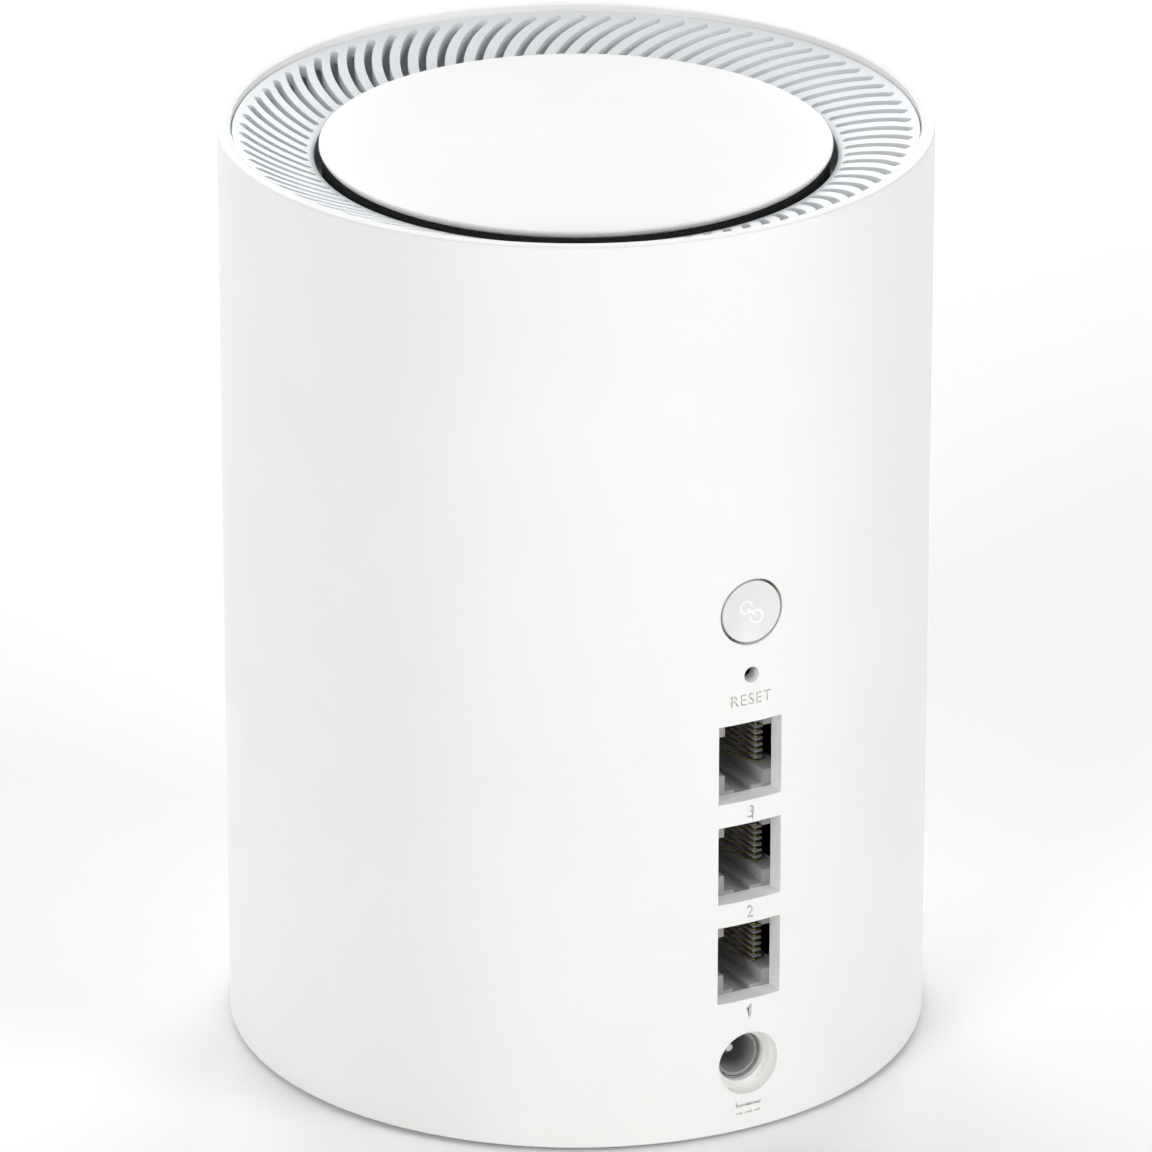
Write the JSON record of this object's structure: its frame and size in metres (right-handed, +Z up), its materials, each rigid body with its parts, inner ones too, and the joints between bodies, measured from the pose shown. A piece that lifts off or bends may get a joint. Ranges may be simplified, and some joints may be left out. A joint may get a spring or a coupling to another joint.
{
  "type": "wireless router",
  "caption": "Upright round wireless mesh router: slotted vent ring round a top disc; pairing button, reset hole, LAN jacks and DC inlet in a column down its back.",
  "frame": {"origin": "centre of the footprint, at the level of the table under the feet", "axes": "+Z up, +Y out of the port column, -Y the front with the status light"},
  "size_m": [0.11, 0.11, 0.149],
  "materials": {
    "white_abs": "fine moulded texture",
    "grey_abs": "fine moulded texture",
    "dark_abs": "moulded",
    "frame_abs": "moulded",
    "rubber": "matte",
    "label": "blank printed film",
    "screw_steel": "zinc plated",
    "circuit_board": "solder mask over glass epoxy",
    "heatsink_aluminium": "extruded",
    "thermal_silicone": "soft silicone",
    "chip_epoxy": "moulded epoxy",
    "tinned_steel": "tin plated sheet",
    "capacitor_can": "sleeved can",
    "ferrite": "pressed powder",
    "jack_plastic": "moulded",
    "gold_plate": "gold flash over phosphor bronze",
    "dark_plastic": "moulded",
    "nickel_plate": "nickel plate",
    "switch_plastic": "moulded",
    "plunger_plastic": "moulded",
    "led_lens": "clear epoxy over phosphor",
    "clear_plastic": "polished acrylic",
    "lead_jacket": "extruded jacket"
  },
  "bodies": {
    "housing": {"outer_shell": "white_abs", "vent_ring": "grey_abs", "top_disc": "white_abs", "disc_carrier": "dark_abs", "inner_frame": "frame_abs", "base_cover": "white_abs", "rubber_feet": "rubber", "rating_label": "label", "base_screws": "screw_steel", "top_screws": "screw_steel", "main_pcb": "circuit_board", "pcb_screws": "screw_steel", "heatsink": "heatsink_aluminium", "heatsink_screws": "screw_steel", "thermal_pad": "thermal_silicone", "main_chip": "chip_epoxy", "memory_chip": "chip_epoxy", "flash_chip": "chip_epoxy", "wifi_chips": "chip_epoxy", "upper_rf_shield": "tinned_steel", "lower_rf_shield": "tinned_steel", "lan_transformers": "chip_epoxy", "capacitors": "capacitor_can", "power_inductors": "ferrite", "lan_jack_1": "jack_plastic", "lan_jack_2": "jack_plastic", "lan_jack_3": "jack_plastic", "lan_contacts_1": "gold_plate", "lan_contacts_2": "gold_plate", "lan_contacts_3": "gold_plate", "dc_jack": "dark_plastic", "dc_jack_pin": "nickel_plate", "dc_jack_spring": "nickel_plate", "pairing_switch": "switch_plastic", "reset_switch": "switch_plastic", "status_led": "led_lens", "light_pipe": "clear_plastic", "antenna_1": "circuit_board", "antenna_2": "circuit_board", "antenna_3": "circuit_board", "antenna_4": "circuit_board", "coax_lead_1": "lead_jacket", "coax_lead_2": "lead_jacket", "coax_lead_3": "lead_jacket", "coax_lead_4": "lead_jacket", "coax_plugs": "gold_plate"},
    "pairing_button": {"pairing_button": "white_abs", "pairing_switch_plunger": "plunger_plastic"},
    "reset_plunger": {"reset_switch_plunger": "plunger_plastic"}
  },
  "joints": [
    {"name": "pairing_press", "type": "slide", "parent": "housing", "child": "pairing_button", "axis": [0, -1, 0], "range_m": [0, 0.0003], "stiffness_N_per_m": 3000},
    {"name": "reset_press", "type": "slide", "parent": "housing", "child": "reset_plunger", "axis": [0, -1, 0], "range_m": [0, 0.00025], "stiffness_N_per_m": 3000}
  ]
}
